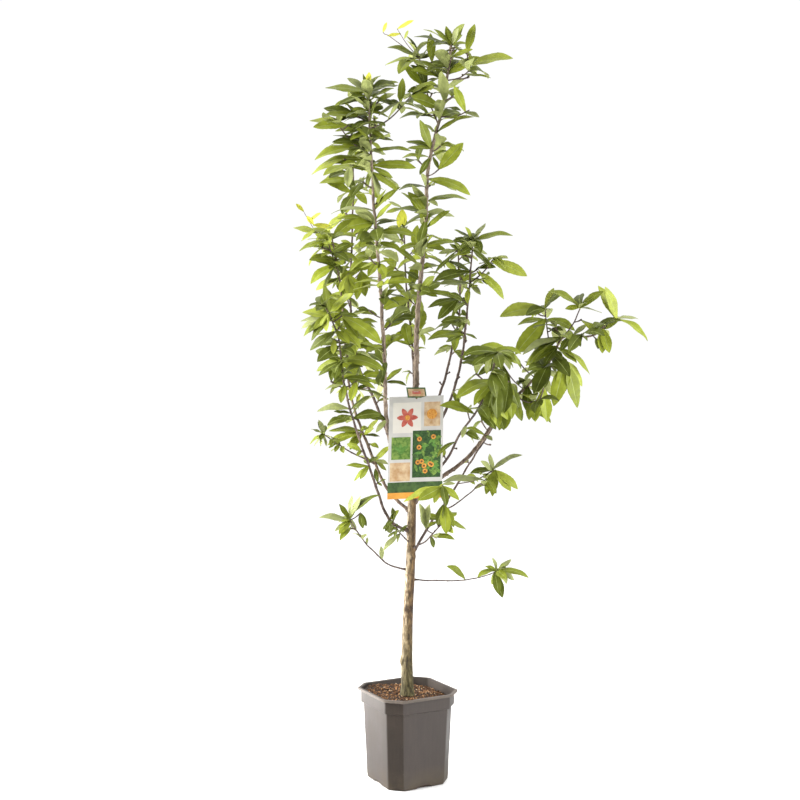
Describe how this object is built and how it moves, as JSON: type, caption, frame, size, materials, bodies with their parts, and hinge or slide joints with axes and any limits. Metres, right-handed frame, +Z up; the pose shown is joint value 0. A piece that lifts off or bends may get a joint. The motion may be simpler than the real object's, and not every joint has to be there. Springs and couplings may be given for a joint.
{
  "type": "potted medlar tree",
  "caption": "Young medlar tree in a square plastic nursery pot with cut corners: straight trunk, long upright boughs, open leafy crown and a plain hang label.",
  "frame": {"origin": "middle of the pot's flat underside", "axes": "+Z up the trunk, +X towards the long right bough, -Y towards the front, where the hang label faces"},
  "size_m": [0.9463, 0.5247, 1.9138],
  "materials": {
    "pot": "satin",
    "soil": "matte",
    "trunk": "matte",
    "leader_bough": "matte",
    "left_inner_bough": "matte",
    "left_back_bough": "matte",
    "left_low_bough": "matte",
    "left_outer_bough": "matte",
    "back_bough": "matte",
    "right_back_bough": "matte",
    "right_front_bough": "matte",
    "right_inner_bough": "matte",
    "right_long_bough": "matte",
    "right_low_bough": "matte",
    "low_left_bough": "matte",
    "low_right_bough": "matte",
    "mid_right_bough": "matte",
    "mid_left_bough": "matte",
    "front_low_bough": "matte",
    "front_left_bough": "matte",
    "leader_foliage": "satin",
    "left_inner_foliage": "satin",
    "left_back_foliage": "satin",
    "left_low_foliage": "satin",
    "left_outer_foliage": "satin",
    "back_foliage": "satin",
    "right_back_foliage": "satin",
    "right_front_foliage": "satin",
    "right_inner_foliage": "satin",
    "right_long_foliage": "satin",
    "right_low_foliage": "satin",
    "low_left_foliage": "satin",
    "low_right_foliage": "satin",
    "mid_right_foliage": "satin",
    "mid_left_foliage": "satin",
    "front_low_foliage": "satin",
    "front_left_foliage": "satin",
    "hang_label": "satin"
  },
  "bodies": {
    "root": {"pot": "pot", "soil": "soil", "trunk": "trunk", "leader_bough": "leader_bough", "left_inner_bough": "left_inner_bough", "left_back_bough": "left_back_bough", "left_low_bough": "left_low_bough", "left_outer_bough": "left_outer_bough", "back_bough": "back_bough", "right_back_bough": "right_back_bough", "right_front_bough": "right_front_bough", "right_inner_bough": "right_inner_bough", "right_long_bough": "right_long_bough", "right_low_bough": "right_low_bough", "low_left_bough": "low_left_bough", "low_right_bough": "low_right_bough", "mid_right_bough": "mid_right_bough", "mid_left_bough": "mid_left_bough", "front_low_bough": "front_low_bough", "front_left_bough": "front_left_bough", "leader_foliage": "leader_foliage", "left_inner_foliage": "left_inner_foliage", "left_back_foliage": "left_back_foliage", "left_low_foliage": "left_low_foliage", "left_outer_foliage": "left_outer_foliage", "back_foliage": "back_foliage", "right_back_foliage": "right_back_foliage", "right_front_foliage": "right_front_foliage", "right_inner_foliage": "right_inner_foliage", "right_long_foliage": "right_long_foliage", "right_low_foliage": "right_low_foliage", "low_left_foliage": "low_left_foliage", "low_right_foliage": "low_right_foliage", "mid_right_foliage": "mid_right_foliage", "mid_left_foliage": "mid_left_foliage", "front_low_foliage": "front_low_foliage", "front_left_foliage": "front_left_foliage", "hang_label": "hang_label"}
  },
  "joints": []
}
